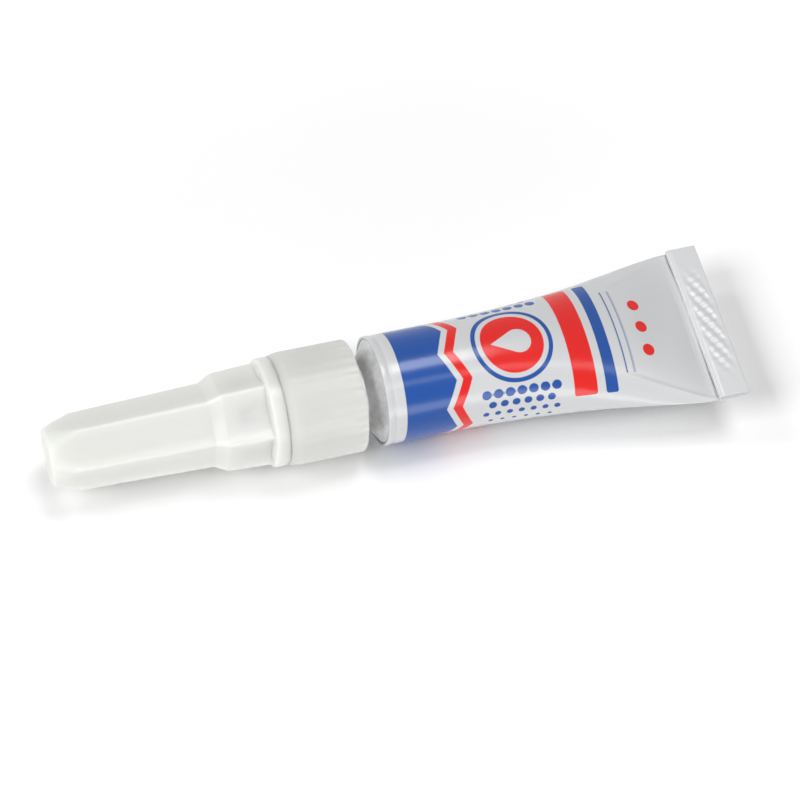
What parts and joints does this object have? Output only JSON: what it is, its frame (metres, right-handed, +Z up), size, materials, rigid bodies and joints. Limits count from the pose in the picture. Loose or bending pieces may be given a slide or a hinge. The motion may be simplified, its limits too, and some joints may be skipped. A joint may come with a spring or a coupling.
{
  "type": "super glue tube",
  "caption": "Collapsible metal glue tube with a folded tail, a ribbed screw-on nozzle that pierces a foil seal, and a fluted screw cap whose pin keeps the spout open",
  "frame": {"origin": "middle of the underside of the part's box, lying on its side on the nozzle's skirt", "axes": "X along the tube's axis from the cap's end to the tail, Y along the tail's fold, Z up"},
  "size_m": [0.0862, 0.0212, 0.0139],
  "materials": {
    "enamelled_aluminium": null,
    "latex": "thin dried latex film",
    "foil": "bright thin foil",
    "gel": "clear, slightly cloudy gel",
    "natural_polyethylene": "moulded, translucent, satin",
    "white_polypropylene": "moulded, soft gloss",
    "pin_steel": "drawn wire"
  },
  "bodies": {
    "tube": {"tube_body": "enamelled_aluminium", "tail_sealant": "latex", "adhesive_gel": "gel"},
    "seal": {"neck_seal": "foil"},
    "nozzle": {"nozzle": "natural_polyethylene"},
    "pin": {"cap_pin": "pin_steel"},
    "cap": {"cap": "white_polypropylene"}
  },
  "joints": [
    {"name": "nozzle_turn", "type": "hinge", "parent": "tube", "child": "seal", "pos_m": [-0.0103, 0, 0.00694], "axis": [-1, 0, 0], "range_deg": [-552.5, 2160.5]},
    {"name": "nozzle_lift", "type": "slide", "parent": "seal", "child": "nozzle", "axis": [-1, 0, 0], "range_m": [-0.0023, 0.009], "deforming": ["neck_seal"]},
    {"name": "cap_lift", "type": "slide", "parent": "nozzle", "child": "pin", "axis": [-1, 0, 0], "range_m": [0, 0.036]},
    {"name": "cap_turn", "type": "hinge", "parent": "pin", "child": "cap", "pos_m": [-0.0171, 0, 0.00694], "axis": [-1, 0, 0], "range_deg": [-0.5, 6480.5]}
  ],
  "couplings": [
    {"joint": "nozzle_turn", "follows": "nozzle_lift", "rad_per_m": 4188.8},
    {"joint": "cap_turn", "follows": "cap_lift", "rad_per_m": 3141.6}
  ]
}
